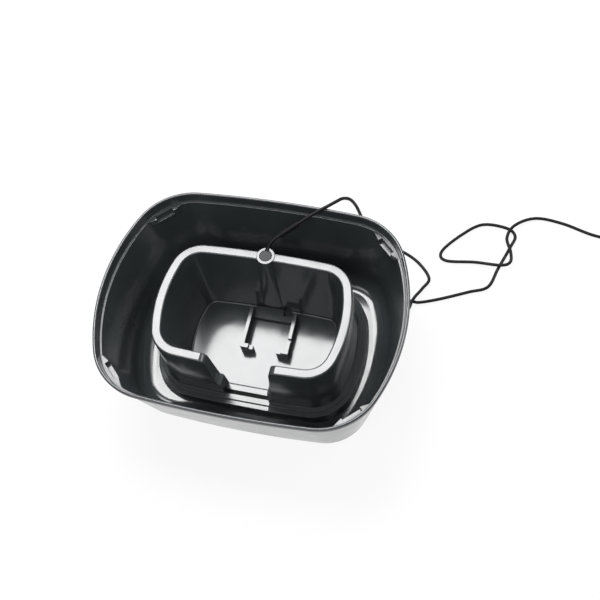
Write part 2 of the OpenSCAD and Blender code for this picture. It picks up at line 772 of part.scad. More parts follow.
// Ribbed boot on the lead
module lead_boot() {
    rib_step = boot_l / (2 * boot_ribs + 1);
    core = boot_r - boot_groove;
    color(satin_black)
    aimed(boot_start, boot_way)
        rotate_extrude($fn = round_fn)
            polygon(concat([[0, 0], [core, 0]],
                [for (i = [1:boot_ribs])
                    each [[core, (2 * i - 1) * rib_step], [boot_r, (2 * i - 0.8) * rib_step],
                          [boot_r, (2 * i - 0.2) * rib_step], [core, 2 * i * rib_step]]],
                [[core, boot_l], [0, boot_l]]));
}

// Coil: in along the lower layer, up in half a turn, out along the upper one, then clear of the coil
coil_start = run_route[len(run_route) - 1];
coil_centre = [coil_start[0] + lead_d, coil_start[1] - coil_r];
coil_z = coil_start[2];
coil_in = coil_r - coil_pitch * coil_turns;
flare_turns = 0.28;
flare_out = 12;
flare_drop = 1;
climb_in = 0.9;
half = 0.5;
turns_up = coil_turns + half;
turns_out = turns_up + coil_turns;
turns_all = turns_out + flare_turns;
function ease(t) = t * t * (3 - 2 * t);
function coil_radius(n) =
    n < coil_turns ? coil_r - coil_pitch * n
    : n < turns_up ? coil_in - climb_in * sin(180 * (n - coil_turns) / half)
    : n < turns_out ? coil_in + coil_pitch * (n - turns_up)
    : coil_r + coil_pitch * (n - turns_out) + flare_out * pow((n - turns_out) / flare_turns, 2);
function coil_height(n) =
    n < coil_turns ? coil_z
    : n < turns_up ? coil_z + coil_pitch * ease((n - coil_turns) / half)
    : n < turns_out ? coil_z + coil_pitch
    : coil_z + coil_pitch - flare_drop * ease((n - turns_out) / flare_turns);
function coil_point(n) =
    [coil_centre[0] + coil_radius(n) * sin(360 * n),
     coil_centre[1] + coil_radius(n) * cos(360 * n),
     coil_height(n)];
coil_steps = ceil(turns_all * coil_rings);
coil_turn_path = [for (i = [0:coil_steps]) coil_point(turns_all * i / coil_steps)];
coil_last = coil_point(turns_all) - coil_point(turns_all - 0.01);
coil_end_way = unit([coil_last[0], coil_last[1], 0]);
plug_start = coil_turn_path[coil_steps] + lead_d * coil_end_way;
coil_path = concat([coil_start], coil_turn_path, [plug_start]);

// Least gap of the coil to itself, on the points of its path
function self_gap(path, skip) =
    min([for (i = [0:len(path) - 1 - skip], j = [i + skip:len(path) - 1]) norm(path[i] - path[j])]) - lead_d;

module lead_coil() {
    echo(coil_self_gap = self_gap(coil_path, coil_rings / 2));
    color(satin_black)
        skin(tube(coil_path, lead_r, coil_sides, run_end_way, coil_end_way));
}

// Length of a path
function path_length(path) =
    let (steps = [for (i = [0:len(path) - 2]) norm(path[i + 1] - path[i])])
    steps * [for (s = steps) 1];

// Tie round the coil, on its near side
tie_in = coil_in - lead_r - tie_gap - tie_t;
tie_out = coil_r + lead_r + tie_gap + tie_t;
tie_low = coil_z - lead_r - tie_gap - tie_t;
tie_high = coil_z + coil_pitch + lead_r + tie_gap + tie_t;
module coil_tie() {
    color(satin_black)
    translate([coil_centre[0] - tie_w / 2, coil_centre[1], 0])
        difference() {
            translate([0, -tie_out, tie_low])
                cube([tie_w, tie_out - tie_in, tie_high - tie_low]);
            translate([-cut, tie_t - tie_out, tie_low + tie_t])
                cube([tie_w + 2 * cut, tie_out - tie_in - 2 * tie_t, tie_high - tie_low - 2 * tie_t]);
        }
}

// Plug at the far end: tapered ribbed neck, round grip and metal barrel
neck_l = grip_l * 0.42;
neck_ribs = 4;
module plug_grip() {
    neck_r = lead_r + 0.9;
    rib_step = neck_l / (2 * neck_ribs + 1);
    rim = 0.8;
    color(satin_black)
    aimed(plug_start, coil_end_way)
        rotate_extrude($fn = round_fn)
            polygon(concat([[0, 0], [neck_r, 0]],
                [for (i = [1:neck_ribs])
                    let (r = neck_r + (grip_r - neck_r) * 0.55 * i / neck_ribs)
                    each [[r - rim, (2 * i - 1) * rib_step], [r, (2 * i - 0.8) * rib_step],
                          [r, (2 * i - 0.2) * rib_step], [r - rim, 2 * i * rib_step]]],
                [[grip_r - rim, neck_l], [grip_r, neck_l + rim], [grip_r, grip_l - rim],
                 [grip_r - rim, grip_l], [0, grip_l]]));
}
module plug_barrel() {
    color(metal_grey)
    aimed(plug_start + grip_l * coil_end_way, coil_end_way)
        difference() {
            cylinder(h = barrel_l, r = barrel_r, $fn = round_fn);
            translate([0, 0, barrel_l * 0.15])
                cylinder(h = barrel_l, r = barrel_hole_r, $fn = round_fn);
        }
}

basin();
bay_ring();
pump_cradle();
foot_front_left();
foot_front_right();
foot_back_left();
foot_back_right();
duct_bung();
lead_tail();
lead_boot();
lead_span();
lead_run();
lead_coil();
coil_tie();
plug_grip();
plug_barrel();
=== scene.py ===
"""Looks of the water basin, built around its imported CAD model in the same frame, in metres."""

import math

import bmesh
import bpy
from mathutils import Matrix, Vector


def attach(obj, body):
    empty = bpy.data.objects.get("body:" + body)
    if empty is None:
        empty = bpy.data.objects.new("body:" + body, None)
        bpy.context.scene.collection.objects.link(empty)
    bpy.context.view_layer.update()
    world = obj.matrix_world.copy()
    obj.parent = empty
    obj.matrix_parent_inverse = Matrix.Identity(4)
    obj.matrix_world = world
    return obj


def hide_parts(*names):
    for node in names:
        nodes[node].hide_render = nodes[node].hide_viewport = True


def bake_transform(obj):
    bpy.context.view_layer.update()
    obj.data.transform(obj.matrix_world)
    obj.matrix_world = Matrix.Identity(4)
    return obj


MM = 0.001

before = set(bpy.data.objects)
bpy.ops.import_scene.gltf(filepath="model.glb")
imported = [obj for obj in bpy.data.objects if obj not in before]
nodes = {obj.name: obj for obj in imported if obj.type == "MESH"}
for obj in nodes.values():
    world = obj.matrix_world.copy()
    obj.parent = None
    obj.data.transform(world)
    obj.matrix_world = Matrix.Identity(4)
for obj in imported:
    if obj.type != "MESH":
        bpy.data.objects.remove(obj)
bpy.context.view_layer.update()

# Sizes of the basin, in millimetres: those of the part's source, with small roundings added here
RIM_W, RIM_D, RIM_Z = 310.0, 237.0, 111.0
RIM_SIDE_R, RIM_END_R, RIM_CORNER_R = 1180.0, 196.0, 64.0
RIM_OUTLINE = (RIM_W / 2, RIM_D / 2, RIM_SIDE_R, RIM_END_R, RIM_CORNER_R)
FOOT_H, FLOOR_T, WALL = 2.0, 3.0, 3.2
LEAN, BEND_R, INNER_R = 15.3, 9.0, 19.0
BEAD, BEAD_H, RIM_T = 2.0, 5.5, 3.0
BEAD_SLOPE, BEAD_ROOT_R, BEAD_EDGE_R = 0.3, 0.25, 0.7
RIM_OUT_R, RIM_IN_R, LIP_R, LEDGE_R = 1.6, 1.3, 0.5, 0.6
LEDGE_DROP, LEDGE_W = 11.3, 2.0
SHELF_TURN, SHELF_IN, SHELF_SLIP = math.radians(46.6), 12.0, 1.4
SHELF_EDGE, SHELF_L, SHELF_BACK, SHELF_T = 22.0, 44.0, 2.8, 8.0
SHELF_PROUD, SHELF_ROUND = 0.04, 0.6
RECESS_L, RECESS_W, RECESS_H = 20.0, 4.2, 6.0
FOOT_R, FOOT_SPAN_X, FOOT_SPAN_Y = 8.0, 184.0, 124.0
POCKET_H, POCKET_GAP = 1.0, 0.2

# Sizes of the bay ring: those of the part's source, with small roundings and a fall of the treads added here
RING_W, RING_D, RING_SHIFT, RING_H = 198.8, 129.4, 1.0, 93.0
RING_SIDE_R, RING_END_R, RING_CORNER_R = 1138.0, 145.0, 32.0
RING_OUTLINE = (RING_W / 2, RING_D / 2, RING_SIDE_R, RING_END_R, RING_CORNER_R)
LAND_W, LAND_ROUND = 9.8, 1.8
INNER_LEAN, OUTER_LEAN, RING_WALL = 10.4, 2.6, 2.5
FOOT_REACH, FOOT_RISE, FOOT_ROUND = 2.0, 0.6, 1.6
TREAD_Z, TREAD_W, TREAD_DROP, LOW_TREAD_W, SKIRT_LEAN = 15.0, 4.7, 2.2, 5.0, 1.9
TREAD_FALL, TREAD_ROOT_R, TREAD_EDGE_R, LOW_ROOT_R = 0.8, 0.9, 0.8, 0.3
SILL_IN, SILL_RIB, SLOT_W, SLOT_H = 11.0, 7.5, 4.8, 8.0
SILL_UNDER, SILL_BACK_R, SILL_EDGE_R = 0.05, 2.2, 0.4
DUCT_R, DUCT_FOOT_R, DUCT_FOOT_D, DUCT_SQUARENESS = 9.6, 15.5, 16.8, 4
COLLAR_H, COLLAR_ROUND, BORE_INSET = 0.8, 0.5, 1.0
MOUTH_R, MOUTH_H, SHOULDER = 6.6, 16.0, 1.0
MOUTH_SLOT_W, MOUTH_SLOT_H = 4.4, 4.6
INLET_W, INLET_H, INLET_X = 8.5, 9.0, 17.8

# Gap in the ring's front, closer to the photograph than the plain one in the source: its jambs have a step
GAP_TOP, GAP_LOW, END_ROUND = 63.4, 45.0, 7.5
JAMB_LOW, JAMB_HIGH, JAMB_STEP_LOW, JAMB_STEP_HIGH = 49.0, 57.0, 37.6, 39.0

# Share of the inner lean that the front wall keeps, and how far a wall faces the front where that starts
FRONT_LEAN, FRONT_FROM = 0.12, 0.6

# Heights and places worked out from the sizes
BASE_Z = FOOT_H
FLOOR_Z = BASE_Z + FLOOR_T
LEDGE_Z = RIM_Z - LEDGE_DROP
COLLAR_Z = FLOOR_Z + RING_H + COLLAR_H
DUCT_Y = RING_D / 2 - LAND_W / 2 - RING_SHIFT

# Fineness of the meshes: FINE counts the steps on the end, corner and side arcs of an outline
SHARP_ANGLE = math.radians(34)
FINE = (14, 26, 16)
FILLET_STEPS, BEVEL_SEGMENTS, ARCH_STEPS, POST_LEVELS = 6, 3, 16, 8
POCKET_SIDES, DUCT_SIDES = 48, 72
COLLAR_ANGLES = (0.4, 0.8, 1.2, math.pi / 2)

# Distance within which points become one, and how far a cutting piece goes past what it cuts
DOUBLE, CLEAR = 0.002, 1.0


# Meshes

def mesh_object(name, points, faces):
    """Object from points in millimetres, smooth except at sharp edges."""
    mesh = bpy.data.meshes.new(name)
    mesh.from_pydata([Vector(p) * MM for p in points], [], faces)
    finish_mesh(mesh)
    obj = bpy.data.objects.new(name, mesh)
    bpy.context.scene.collection.objects.link(obj)
    return obj


def finish_mesh(mesh):
    """Points all faces outwards and keeps only real edges sharp."""
    work = bmesh.new()
    work.from_mesh(mesh)
    bmesh.ops.remove_doubles(work, verts=work.verts, dist=DOUBLE * MM)
    bmesh.ops.recalc_face_normals(work, faces=work.faces)
    work.to_mesh(mesh)
    work.free()
    mesh.shade_smooth()
    mesh.set_sharp_from_angle(angle=SHARP_ANGLE)
    mesh.update()


def level_shading(obj):
    """Keeps flat faces flat in the shading, so that only the roundings between them turn the light."""
    obj.modifiers.new("level", "WEIGHTED_NORMAL").keep_sharp = True
    settle(obj)


def skin(rows):
    """Points and faces of a closed skin over rows of points, each row a closed loop."""
    n = len(rows[0])
    points = [p for row in rows for p in row]
    faces = [
        (i * n + j, i * n + (j + 1) % n, (i + 1) * n + (j + 1) % n, (i + 1) * n + j)
        for i in range(len(rows) - 1)
        for j in range(n)
    ]
    last = (len(rows) - 1) * n
    faces.append(tuple(range(n)))
    faces.append(tuple(range(last + n - 1, last - 1, -1)))
    return points, faces


def prism(outline, low, high):
    """Upright prism over an outline of (x, y) points."""
    return skin([[(x, y, z) for x, y in outline] for z in (low, high)])


def block(low, high):
    """Box between two corners."""
    outline = [(low[0], low[1]), (high[0], low[1]), (high[0], high[1]), (low[0], high[1])]
    return prism(outline, low[2], high[2])


def turned(profile, place, sides):
    """Solid of revolution about an upright axis, from (radius, height) pairs."""
    return skin([
        [(place[0] + r * math.cos(a), place[1] + r * math.sin(a), z)
         for a in (math.tau * k / sides for k in range(sides))]
        for r, z in profile
    ])


def settle(obj):
    """Makes the result of an object's modifiers its mesh."""
    graph = bpy.context.evaluated_depsgraph_get()
    settled = bpy.data.meshes.new_from_object(obj.evaluated_get(graph))
    obj.modifiers.clear()
    obj.data = settled


def combine(obj, tool, operation):
    """Joins another object to an object's mesh, or cuts it away, and removes it."""
    step = obj.modifiers.new("combine", "BOOLEAN")
    step.operation = operation
    step.solver = "EXACT"
    step.object = tool
    settle(obj)
    bpy.data.objects.remove(tool)


def carve(obj, tool_data, operation):
    """Combines an object with a piece given as points and faces."""
    combine(obj, mesh_object("tool", *tool_data), operation)


def bevel_edges(obj, width, angle):
    """Adds a rounding of the edges that are sharper than an angle."""
    bevel = obj.modifiers.new("edges", "BEVEL")
    bevel.width = width * MM
    bevel.segments = BEVEL_SEGMENTS
    bevel.limit_method = "ANGLE"
    bevel.angle_limit = angle


def rounded(corners):
    """Line through (inset, height, radius) corners, each corner rounded by an arc."""
    line = []
    for i, (x, z, radius) in enumerate(corners):
        here = Vector((x, z))
        if radius == 0:
            line.append((x, z))
            continue
        before = (Vector(corners[i - 1][:2]) - here).normalized()
        after = (Vector(corners[i + 1][:2]) - here).normalized()
        half = before.angle(after) / 2
        reach = radius / math.tan(half)
        centre = here + (before + after).normalized() * (radius / math.sin(half))
        first = here + before * reach - centre
        last = here + after * reach - centre
        turn = first.angle(last)
        steps = max(FILLET_STEPS, round(radius))
        for k in range(steps + 1):
            t = k / steps
            spoke = (first * math.sin((1 - t) * turn) + last * math.sin(t * turn)) / math.sin(turn)
            line.append(tuple(centre + spoke))
    return line


def ease(t):
    """Goes from 0 to 1 with a smooth start and end."""
    return t * t * (3 - 2 * t)


# Outlines: half width, half depth, side radius, end radius, corner radius

def corner_centre(outline):
    """Centre of the corner arc, which touches the side arc and the end arc from inside."""
    half_w, half_d, side_r, end_r, corner_r = outline
    p = Vector((0, half_d - side_r))
    q = Vector((half_w - end_r, 0))
    r, s = side_r - corner_r, end_r - corner_r
    d = (q - p).length
    u = (q - p) / d
    along = (d * d + r * r - s * s) / (2 * d)
    aside = math.sqrt(r * r - along * along)
    return p + along * u + aside * Vector((u.y, -u.x))


def stations(outline):
    """Stations round an outline, anticlockwise from +X: a centre, a radius and an angle."""
    half_w, half_d, side_r, end_r, corner_r = outline
    c = corner_centre(outline)
    p = Vector((0, half_d - side_r))
    q = Vector((half_w - end_r, 0))
    low = math.atan2(c.y - q.y, c.x - q.x)
    high = math.atan2(c.y - p.y, c.x - p.x)
    arcs = (
        (q, end_r, 0, low, FINE[0]),
        (c, corner_r, low, high, FINE[1]),
        (p, side_r, high, math.pi / 2, FINE[2]),
    )
    quarter = [(centre, r, a + (b - a) * i / n) for centre, r, a, b, n in arcs for i in range(n)]
    quarter.append((p, side_r, math.pi / 2))
    half = quarter[:-1]
    half += [(Vector((-m.x, m.y)), r, math.pi - a) for m, r, a in reversed(quarter[1:])]
    return half + [(-m, r, a + math.pi) for m, r, a in half]


def inset_point(station, inset):
    """Point of a station, set in from the outline."""
    centre, radius, angle = station
    reach = radius - inset
    return centre.x + reach * math.cos(angle), centre.y + reach * math.sin(angle)


# Basin

WALL_TOP_Z = RIM_Z - BEAD_H
SLOPE = LEAN / (WALL_TOP_Z - BASE_Z - BEND_R)


def outer_inset(z):
    """How far the outside of the wall is set in from the rim's outline, at a height."""
    return BEAD + (WALL_TOP_Z - z) * SLOPE


def inner_inset(z):
    """How far the inside of the wall is set in, at a height."""
    return outer_inset(z) + WALL


LIP_IN = inner_inset(LEDGE_Z) - LEDGE_W


def basin_profile():
    """Section of the wall from the underside over the rim to the floor."""
    return rounded([
        (outer_inset(BASE_Z) + 2 * BEND_R, BASE_Z, 0),
        (outer_inset(BASE_Z), BASE_Z, BEND_R),
        (BEAD, WALL_TOP_Z, BEAD_ROOT_R),
        (0, WALL_TOP_Z + BEAD_SLOPE, BEAD_EDGE_R),
        (0, RIM_Z, RIM_OUT_R),
        (RIM_T, RIM_Z, RIM_IN_R),
        (LIP_IN, LEDGE_Z, LIP_R),
        (inner_inset(LEDGE_Z), LEDGE_Z, LEDGE_R),
        (inner_inset(FLOOR_Z), FLOOR_Z, INNER_R),
        (inner_inset(FLOOR_Z) + 2 * INNER_R, FLOOR_Z, 0),
    ])


def shelf_prism(outline, right, back, low, high):
    """Prism over points given along the way a shelf faces and along its straight edge."""
    way = Vector((math.cos(SHELF_TURN), math.sin(SHELF_TURN)))
    across = Vector((-way.y, way.x))
    middle = corner_centre(RIM_OUTLINE) - SHELF_SLIP * across
    points = [middle + out * way + along * across for out, along in outline]
    return prism([(right * p.x, back * p.y) for p in points], low, high)


def make_shelf(right, back):
    """Shelf in one corner, cut to the wall, with its recess and soft edges, a hair proud of the ledge."""
    root = RIM_CORNER_R
    front = root - SHELF_IN
    tip = front + SHELF_BACK
    edge, end, notch = SHELF_EDGE / 2, SHELF_L / 2, RECESS_L / 2
    outline = [(front, -edge), (tip, -end), (root, -end), (root, end), (tip, end), (front, edge)]
    before, deep = front - CLEAR, front + RECESS_W
    recess = [(before, -notch), (deep, -notch), (deep, notch), (before, notch)]
    low = LEDGE_Z - SHELF_T
    in_wall = outer_inset(low) + WALL / 4
    wall_line = [inset_point(s, in_wall) for s in stations(RIM_OUTLINE)]
    wall = prism(wall_line, low - CLEAR, LEDGE_Z + CLEAR)
    shelf = mesh_object("shelf", *shelf_prism(outline, right, back, low, LEDGE_Z + SHELF_PROUD))
    carve(shelf, wall, "INTERSECT")
    carve(shelf, shelf_prism(recess, right, back, LEDGE_Z - RECESS_H, LEDGE_Z + CLEAR), "DIFFERENCE")
    bevel_edges(shelf, SHELF_ROUND, SHARP_ANGLE)
    settle(shelf)
    return shelf


def make_basin():
    """Basin with its four foot pockets and four corner shelves."""
    around = stations(RIM_OUTLINE)
    rows = [[(*inset_point(s, inset), z) for s in around] for inset, z in basin_profile()]
    shell = mesh_object("basin_shell", *skin(rows))
    pocket_r = FOOT_R + POCKET_GAP
    pocket = [(pocket_r, BASE_Z - CLEAR), (pocket_r, BASE_Z + POCKET_H)]
    for right in (-1, 1):
        for back in (-1, 1):
            place = (right * FOOT_SPAN_X / 2, back * FOOT_SPAN_Y / 2)
            carve(shell, turned(pocket, place, POCKET_SIDES), "DIFFERENCE")
            combine(shell, make_shelf(right, back), "UNION")
    finish_mesh(shell.data)
    level_shading(shell)
    return shell


# Bay ring

INNER_FOOT = LAND_W + INNER_LEAN
TREAD_IN = -OUTER_LEAN
TREAD_OUT = TREAD_IN - TREAD_W
LOW_TREAD_Z = TREAD_Z - TREAD_DROP
SKIRT_TOP = TREAD_OUT - LOW_TREAD_W
SKIRT_FOOT = SKIRT_TOP - SKIRT_LEAN
GAP_SIDE = ((0, GAP_LOW), (JAMB_STEP_LOW, JAMB_LOW), (JAMB_STEP_HIGH, JAMB_HIGH), (RING_H, GAP_TOP))


def gap_half(h):
    """Half width of the gap at a height over the floor: it narrows in a step partway down."""
    for (low, width), (high, wider) in zip(GAP_SIDE, GAP_SIDE[1:]):
        if h <= high:
            break
    return (width + (wider - width) * (h - low) / (high - low)) / 2


def lean_share(facing):
    """Share of the inner wall's lean, from how far it faces the front, where it is nearly upright."""
    t = min(max((facing - FRONT_FROM) / (1 - FRONT_FROM), 0), 1)
    return 1 - (1 - FRONT_LEAN) * ease(t)


def ring_stations():
    """Stations from the right of the gap round the back to its left."""
    every = stations(RING_OUTLINE)
    first = len(every) * 3 // 4
    every = every[first:] + every[:first]
    room = GAP_TOP / 2 + END_ROUND + 2 * RING_WALL
    kept = []
    for s in every:
        x, y = inset_point(s, 0)
        if y > 0 or abs(x) > room:
            kept.append(s)
    return kept


def ring_rows(profile, ends, land_edge):
    """Sections of the ring from end to end; each of the ends is a (step back from the gap, step down)."""

    def leant(inset, share):
        return min(inset, land_edge) + max(inset - land_edge, 0) * share

    def end_row(side, off, drop):
        row = []
        for inset, h in profile:
            x = side * (gap_half(h) + off)
            r = RING_SIDE_R - leant(inset, FRONT_LEAN)
            y = RING_SIDE_R - RING_D / 2 - math.sqrt(r * r - x * x) - RING_SHIFT
            row.append((x, y, FLOOR_Z + h - (drop if h > RING_H / 2 else 0)))
        return row

    rows = [end_row(1, *end) for end in ends]
    for s in ring_stations():
        row = []
        share = lean_share(-math.sin(s[2]))
        for inset, h in profile:
            x, y = inset_point(s, leant(inset, share))
            row.append((x, y - RING_SHIFT, FLOOR_Z + h))
        rows.append(row)
    return rows + [end_row(-1, *end) for end in reversed(ends)]


def ring_faces(count, n, m, jamb):
    """Faces over count sections of n points outside and m inside; jamb counts the points at its step."""
    base = count * n
    low_in, high_in, high_out, low_out = jamb
    faces = []
    # Both skins
    for first, width in ((0, n), (base, m)):
        for i in range(count - 1):
            for j in range(width - 1):
                a = first + i * width + j
                faces.append((a, a + 1, a + 1 + width, a + width))
    # Ends of the outer skin, each in three faces that meet at the step of the jamb
    for first in (0, (count - 1) * n):
        faces.append((*range(first, first + low_in + 1), *range(first + low_out, first + n)))
        faces.append(tuple(first + j for j in (low_in, high_in, high_out, low_out)))
        faces.append(tuple(range(first + high_in, first + high_out + 1)))
    # Ends of the inner skin
    for first in (base, base + (count - 1) * m):
        faces.append(tuple(range(first, first + m)))
    # Foot between the skins, along both walls and across both ends
    for i in range(count - 1):
        a, b = i * n, base + i * m
        c, d = a + n - 1, b + m - 1
        faces.append((a, a + n, b + m, b))
        faces.append((c, d, d + m, c + n))
    for i in (0, count - 1):
        a, b = i * n, base + i * m
        faces.append((a, b, b + m - 1, a + n - 1))
    return faces


def ring_shell():
    """Points and faces of the hollow ring: an outer and an inner skin, joined at the foot."""
    angles = [math.pi / 2 * k / FILLET_STEPS for k in range(FILLET_STEPS + 1)]
    ends = [(END_ROUND * (1 - math.cos(a)), END_ROUND * (1 - math.sin(a))) for a in angles]
    steps = (JAMB_STEP_LOW, JAMB_STEP_HIGH)
    profile = rounded([
        (INNER_FOOT + FOOT_REACH, 0, 0),
        (INNER_FOOT, FOOT_RISE, FOOT_ROUND),
        *[(INNER_FOOT - INNER_LEAN * h / RING_H, h, 0) for h in steps],
        (LAND_W, RING_H, LAND_ROUND),
        (0, RING_H, LAND_ROUND),
        *[(-OUTER_LEAN * (RING_H - h) / (RING_H - TREAD_Z), h, 0) for h in reversed(steps)],
        (TREAD_IN, TREAD_Z, TREAD_ROOT_R),
        (TREAD_OUT, TREAD_Z - TREAD_FALL, TREAD_EDGE_R),
        (TREAD_OUT, LOW_TREAD_Z, LOW_ROOT_R),
        (SKIRT_TOP, LOW_TREAD_Z - TREAD_FALL, TREAD_EDGE_R),
        (SKIRT_FOOT, 0, 0),
    ])
    outer = ring_rows(profile, ends, LAND_W)
    inner = ring_rows([
        (INNER_FOOT - RING_WALL, 0),
        (LAND_W - RING_WALL, RING_H - RING_WALL),
        (RING_WALL, RING_H - RING_WALL),
        (TREAD_IN + RING_WALL, TREAD_Z),
        (TREAD_OUT + RING_WALL, TREAD_Z - RING_WALL),
        (SKIRT_TOP + RING_WALL, LOW_TREAD_Z - RING_WALL),
        (SKIRT_FOOT + RING_WALL, 0),
    ], [(2 * RING_WALL + off, 0) for off, _ in ends], LAND_W - RING_WALL)
    jamb = [j for j, (_, h) in enumerate(profile) if h in steps]
    faces = ring_faces(len(outer), len(outer[0]), len(inner[0]), jamb)
    return [p for row in outer + inner for p in row], faces


def foot_reach(angle):
    """Distance from the duct's middle to its squared foot."""
    if math.sin(angle) > 0:
        return DUCT_FOOT_R
    x, y = abs(math.cos(angle)) / DUCT_FOOT_R, abs(math.sin(angle)) / DUCT_FOOT_D
    return (x ** DUCT_SQUARENESS + y ** DUCT_SQUARENESS) ** (-1 / DUCT_SQUARENESS)


def duct_post():
    """Post of the duct, from its squared foot to a round collar with a rounded edge."""
    edge = COLLAR_ROUND
    tall = COLLAR_Z - edge - FLOOR_Z
    rows = []
    levels = [(FLOOR_Z + tall * t / POST_LEVELS, t / POST_LEVELS, 0) for t in range(POST_LEVELS + 1)]
    levels += [(COLLAR_Z - edge * (1 - math.sin(a)), 1, edge * (1 - math.cos(a))) for a in COLLAR_ANGLES]
    for z, up, less in levels:
        row = []
        for k in range(DUCT_SIDES):
            a = math.tau * (k + 0.5) / DUCT_SIDES
            r = foot_reach(a) * (1 - up) + DUCT_R * up - less
            row.append((r * math.cos(a), DUCT_Y + r * math.sin(a), z))
        rows.append(row)
    return skin(rows)


def sill_parts():
    """Sill across the gap, and the slot and hollow that are cut into it."""
    front = -(RING_D / 2 + RING_SHIFT)
    inner = front + SILL_IN
    # The front of the ring bows, so the sill's straight treads lie a little further in
    bow = GAP_LOW ** 2 / 8 / RING_SIDE_R + SILL_UNDER
    tread, skirt = front + TREAD_OUT + bow, front + SKIRT_TOP + bow
    section = rounded([
        (inner, 0, 0),
        (inner, TREAD_Z - SILL_UNDER, SILL_BACK_R),
        (tread, TREAD_Z - SILL_UNDER, SILL_EDGE_R),
        (tread, LOW_TREAD_Z - SILL_UNDER, LOW_ROOT_R),
        (skirt, LOW_TREAD_Z - SILL_UNDER, SILL_EDGE_R),
        (skirt - SKIRT_LEAN, 0, 0),
    ])
    rows = [
        [(side * (gap_half(h) + RING_WALL / 2), y, FLOOR_Z + h) for y, h in section]
        for side in (-1, 1)
    ]
    slot_l = GAP_LOW + 2 * RING_WALL
    back = inner - SILL_RIB
    slot_z = FLOOR_Z + TREAD_Z - SLOT_H
    slot = block((-slot_l / 2, back - SLOT_W, slot_z), (slot_l / 2, back, slot_z + 2 * SLOT_H))
    room = GAP_LOW / 2 - 2 * RING_WALL
    top = FLOOR_Z + TREAD_Z - SLOT_H - RING_WALL
    hollow = block((-room, skirt + RING_WALL, FLOOR_Z - CLEAR), (room, inner - RING_WALL, top))
    return skin(rows), slot, hollow


def inlet_parts():
    """Arched inlet from the bay, and its way into the duct."""
    arch, side_h = INLET_W / 2, INLET_H - INLET_W / 2
    wall_y = DUCT_Y - LAND_W / 2
    angles = [math.pi * (1 - k / ARCH_STEPS) for k in range(ARCH_STEPS + 1)]
    line = [(-arch, -CLEAR)]
    line += [(arch * math.cos(a), side_h + arch * math.sin(a)) for a in angles]
    line.append((arch, -CLEAR))
    rows = [[(INLET_X + x, y, FLOOR_Z + z) for x, z in line] for y in (wall_y, wall_y - 2 * INNER_LEAN)]
    way = block((0, wall_y - INNER_LEAN / 2, FLOOR_Z - CLEAR), (INLET_X, DUCT_Y, FLOOR_Z + side_h))
    return skin(rows), way


def make_ring():
    """Ring with its sill, slot, duct and inlet."""
    ring = mesh_object("ring_shell", *ring_shell())
    sill, slot, hollow = sill_parts()
    inlet, way = inlet_parts()
    place = (0, DUCT_Y)
    shoulder_z = COLLAR_Z - MOUTH_H
    above = COLLAR_Z + CLEAR
    bore_foot = (DUCT_FOOT_R - RING_WALL - BORE_INSET, FLOOR_Z - CLEAR)
    bore = turned([bore_foot, (MOUTH_R - SHOULDER, shoulder_z + CLEAR)], place, DUCT_SIDES)
    mouth = turned([(MOUTH_R, shoulder_z), (MOUTH_R, above)], place, DUCT_SIDES)
    half = MOUTH_SLOT_W / 2
    mouth_slot = block((-half, DUCT_Y, COLLAR_Z - MOUTH_SLOT_H), (half, DUCT_Y + 2 * DUCT_R, above))
    for piece in (sill, duct_post()):
        carve(ring, piece, "UNION")
    for piece in (slot, hollow, bore, mouth, mouth_slot, inlet, way):
        carve(ring, piece, "DIFFERENCE")
    finish_mesh(ring.data)
    level_shading(ring)
    return ring


# Lead: the route repeats the part's source, in millimetres

LEAD_R, FLOOR_GAP = 1.75, 0.1
BUNG_GAP, BUNG_FLAT, TAIL_LIFT = 0.25, 0.8, 0.6
FLAT_Y = DUCT_Y + MOUTH_R - BUNG_GAP - BUNG_FLAT
TAIL_Z = COLLAR_Z - MOUTH_SLOT_H + LEAD_R + TAIL_LIFT
TAIL_ROUTE = [(0, FLAT_Y, TAIL_Z), (0, 69, TAIL_Z + 0.2), (2, 74, 99.5), (6, 79, 101.5), (11, 83, 103.5)]
BOOT_END, BOOT_L = Vector((27, 96, 109)), 22.0
SPAN_ROUTE = [tuple(BOOT_END), (36, 103.5, 111.7), (45, 111, 113.2), (53, 118, 113.4)]
RUN_ROUTE = [
    (53, 118, 113.4), (60, 125, 112.6), (66, 133, 108.5), (72, 139, 99), (77, 142, 84), (81, 143, 66),
    (86, 143, 42), (93, 143, 20), (105, 143, 5), (121, 143, 2), (146, 131, 2), (163, 112, 2),
    (158, 97, 4), (152, 85, 6.2), (149, 77.5, 6), (147.5, 71, 4), (144.5, 66, 2.4), (139.5, 64, 2),
    (135, 66.5, 2), (132.5, 71.5, 2), (134.5, 76.5, 2), (139, 79.5, 2), (144.5, 80.5, 2), (151, 80, 2),
    (158, 80.5, 2), (178, 88, 2), (208, 102, 2),
    (228, 112, 2), (236, 136, 2), (246, 165, 2), (250, 181, 2), (239, 190, 2), (212, 190, 2),
    (190, 172, 2), (172, 148, 2), (178, 137, 2), (210, 140, 2.6), (238, 139, 6), (248, 145, 5.6),
    (247, 158, 6), (241, 175, 6), (248, 193, 5.8), (270, 208, 2.2), (300, 206, 2), (336, 196, 2),
    (372, 193.5, 2.8),
]
COIL_R, COIL_TURNS, COIL_PITCH = 26.5, 3.75, 4.0
FLARE_TURNS, FLARE_OUT, FLARE_DROP, CLIMB_IN = 0.28, 12.0, 1.0, 0.9
HALF_TURN, TINY_TURN = 0.5, 0.01
LEAD_STEPS, COIL_STEPS, BOOT_STEPS, LEAD_SIDES = 8, 72, 6, 14
TUBE_UP = Vector((0.1, 0.2, 1))

# How far the curves point on past their ends: at the bung, into the boot, out of it, and into the coil
BUNG_PULL, BOOT_IN_PULL, BOOT_OUT_PULL, COIL_PULL = 4.0, 6.0, 8.0, 30.0


